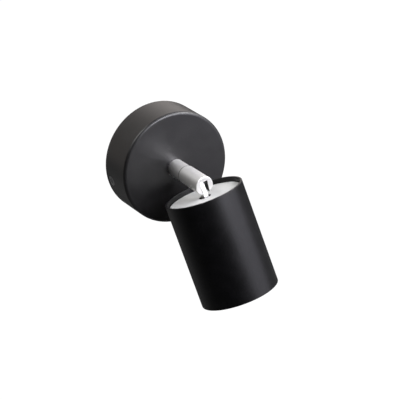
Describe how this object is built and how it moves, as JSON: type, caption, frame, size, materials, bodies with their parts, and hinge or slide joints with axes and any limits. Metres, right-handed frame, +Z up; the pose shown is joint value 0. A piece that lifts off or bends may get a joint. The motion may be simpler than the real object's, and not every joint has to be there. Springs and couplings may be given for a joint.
{
  "type": "pivoting spotlight wall light",
  "caption": "Wall spotlight with a round canopy, a short swivel and tilt stem, and a tubular shade around a twist-in reflector lamp.",
  "frame": {"origin": "middle of the canopy's open back, in the plane of the wall", "axes": "+Z up the wall, -Y out of the wall into the room along the stem, +X to the right seen from the room"},
  "size_m": [0.08, 0.1094, 0.1267],
  "materials": {
    "black_coating": "satin black powder coat",
    "satin_nickel": "fine brushed satin nickel",
    "grey_plate": "matt light grey",
    "zinc_plate": "bright zinc plating",
    "dark_screw": "dark zinc plating",
    "bright_screw": "nickel plating",
    "brass": "plain",
    "white_moulding": "matt",
    "white_nylon": "matt",
    "white_ceramic": "unglazed",
    "spring_contact": "tin plated",
    "lamp_insulator": "unglazed",
    "lamp_pin_metal": "nickel plating",
    "reflector_glass": "pressed glass with a mirror layer inside",
    "clear_glass": "clear",
    "capsule_glass": "clear"
  },
  "bodies": {
    "wall": {"wall_bracket": "zinc_plate", "canopy": "black_coating", "side_screws": "dark_screw", "terminal_block": "white_moulding", "terminal_sleeves": "brass", "terminal_screws": "bright_screw", "block_screws": "bright_screw", "earth_washer": "brass", "earth_screw": "brass", "threaded_nipple": "zinc_plate", "nipple_bush": "white_nylon", "lock_washer": "zinc_plate", "stem_nut": "zinc_plate", "stem_collar": "satin_nickel", "swivel_friction_ring": "white_nylon"},
    "swivel": {"swivel_barrel": "satin_nickel", "swivel_grub_screw": "bright_screw", "pivot_pin": "satin_nickel", "friction_washers": "bright_screw"},
    "head": {"tilt_arm": "satin_nickel", "back_plate": "grey_plate", "arm_screws": "bright_screw", "holder_bracket": "zinc_plate", "lamp_holder": "white_ceramic", "holder_screws": "bright_screw", "contact_springs": "spring_contact", "shade_tube": "black_coating"},
    "lamp": {"lamp_base": "lamp_insulator", "lamp_pins": "lamp_pin_metal", "lamp_reflector": "reflector_glass", "lamp_capsule": "capsule_glass", "lamp_cover_glass": "clear_glass"}
  },
  "joints": [
    {"name": "swivel", "type": "hinge", "parent": "wall", "child": "swivel", "pos_m": [0, -0.0475, 0], "axis": [0, -1, 0], "range_deg": [-164, 164]},
    {"name": "tilt", "type": "hinge", "parent": "swivel", "child": "head", "pos_m": [0, -0.06155, 0], "axis": [1, 0, 0], "range_deg": [-75, 15]},
    {"name": "lamp_twist", "type": "hinge", "parent": "head", "child": "lamp", "pos_m": [0, -0.06951, -0.0297], "axis": [0, -0.2588, -0.9659], "range_deg": [0, 25]}
  ]
}
